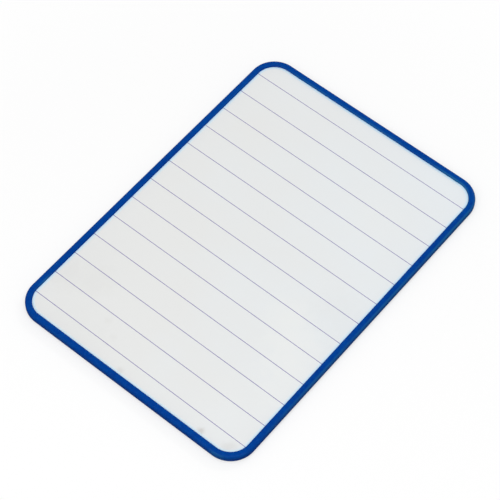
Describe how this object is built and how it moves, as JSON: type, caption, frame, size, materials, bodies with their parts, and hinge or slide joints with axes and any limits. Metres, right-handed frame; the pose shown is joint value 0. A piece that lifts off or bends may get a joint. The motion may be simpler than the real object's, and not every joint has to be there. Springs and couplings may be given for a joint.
{
  "type": "magnetic whiteboard",
  "caption": "Lap-size magnetic whiteboard with a ruled front face, a plain rear face and a rounded snap-together plastic rim.",
  "frame": {"origin": "centre of the board's footprint, on the surface that its rear rim rests on", "axes": "+Z out of the ruled front face, +Y along the board's long side towards its top edge, +X across the board to the reader's right"},
  "size_m": [0.21, 0.297, 0.0068],
  "materials": {
    "rim_plastic": "blue moulded ABS with a soft gloss",
    "ruled_steel": "glossy pale grey-white dry-erase coating on steel, printed with thin ruled lines",
    "plain_steel": "glossy pale grey-white dry-erase coating on steel",
    "core_fibreboard": "raw dense fibreboard",
    "laminating_adhesive": "thin clear-yellow contact adhesive film"
  },
  "bodies": {
    "root": {"front_frame": "rim_plastic", "rear_frame": "rim_plastic", "front_writing_sheet": "ruled_steel", "rear_writing_sheet": "plain_steel", "core_board": "core_fibreboard", "front_adhesive_film": "laminating_adhesive", "rear_adhesive_film": "laminating_adhesive"}
  },
  "joints": []
}
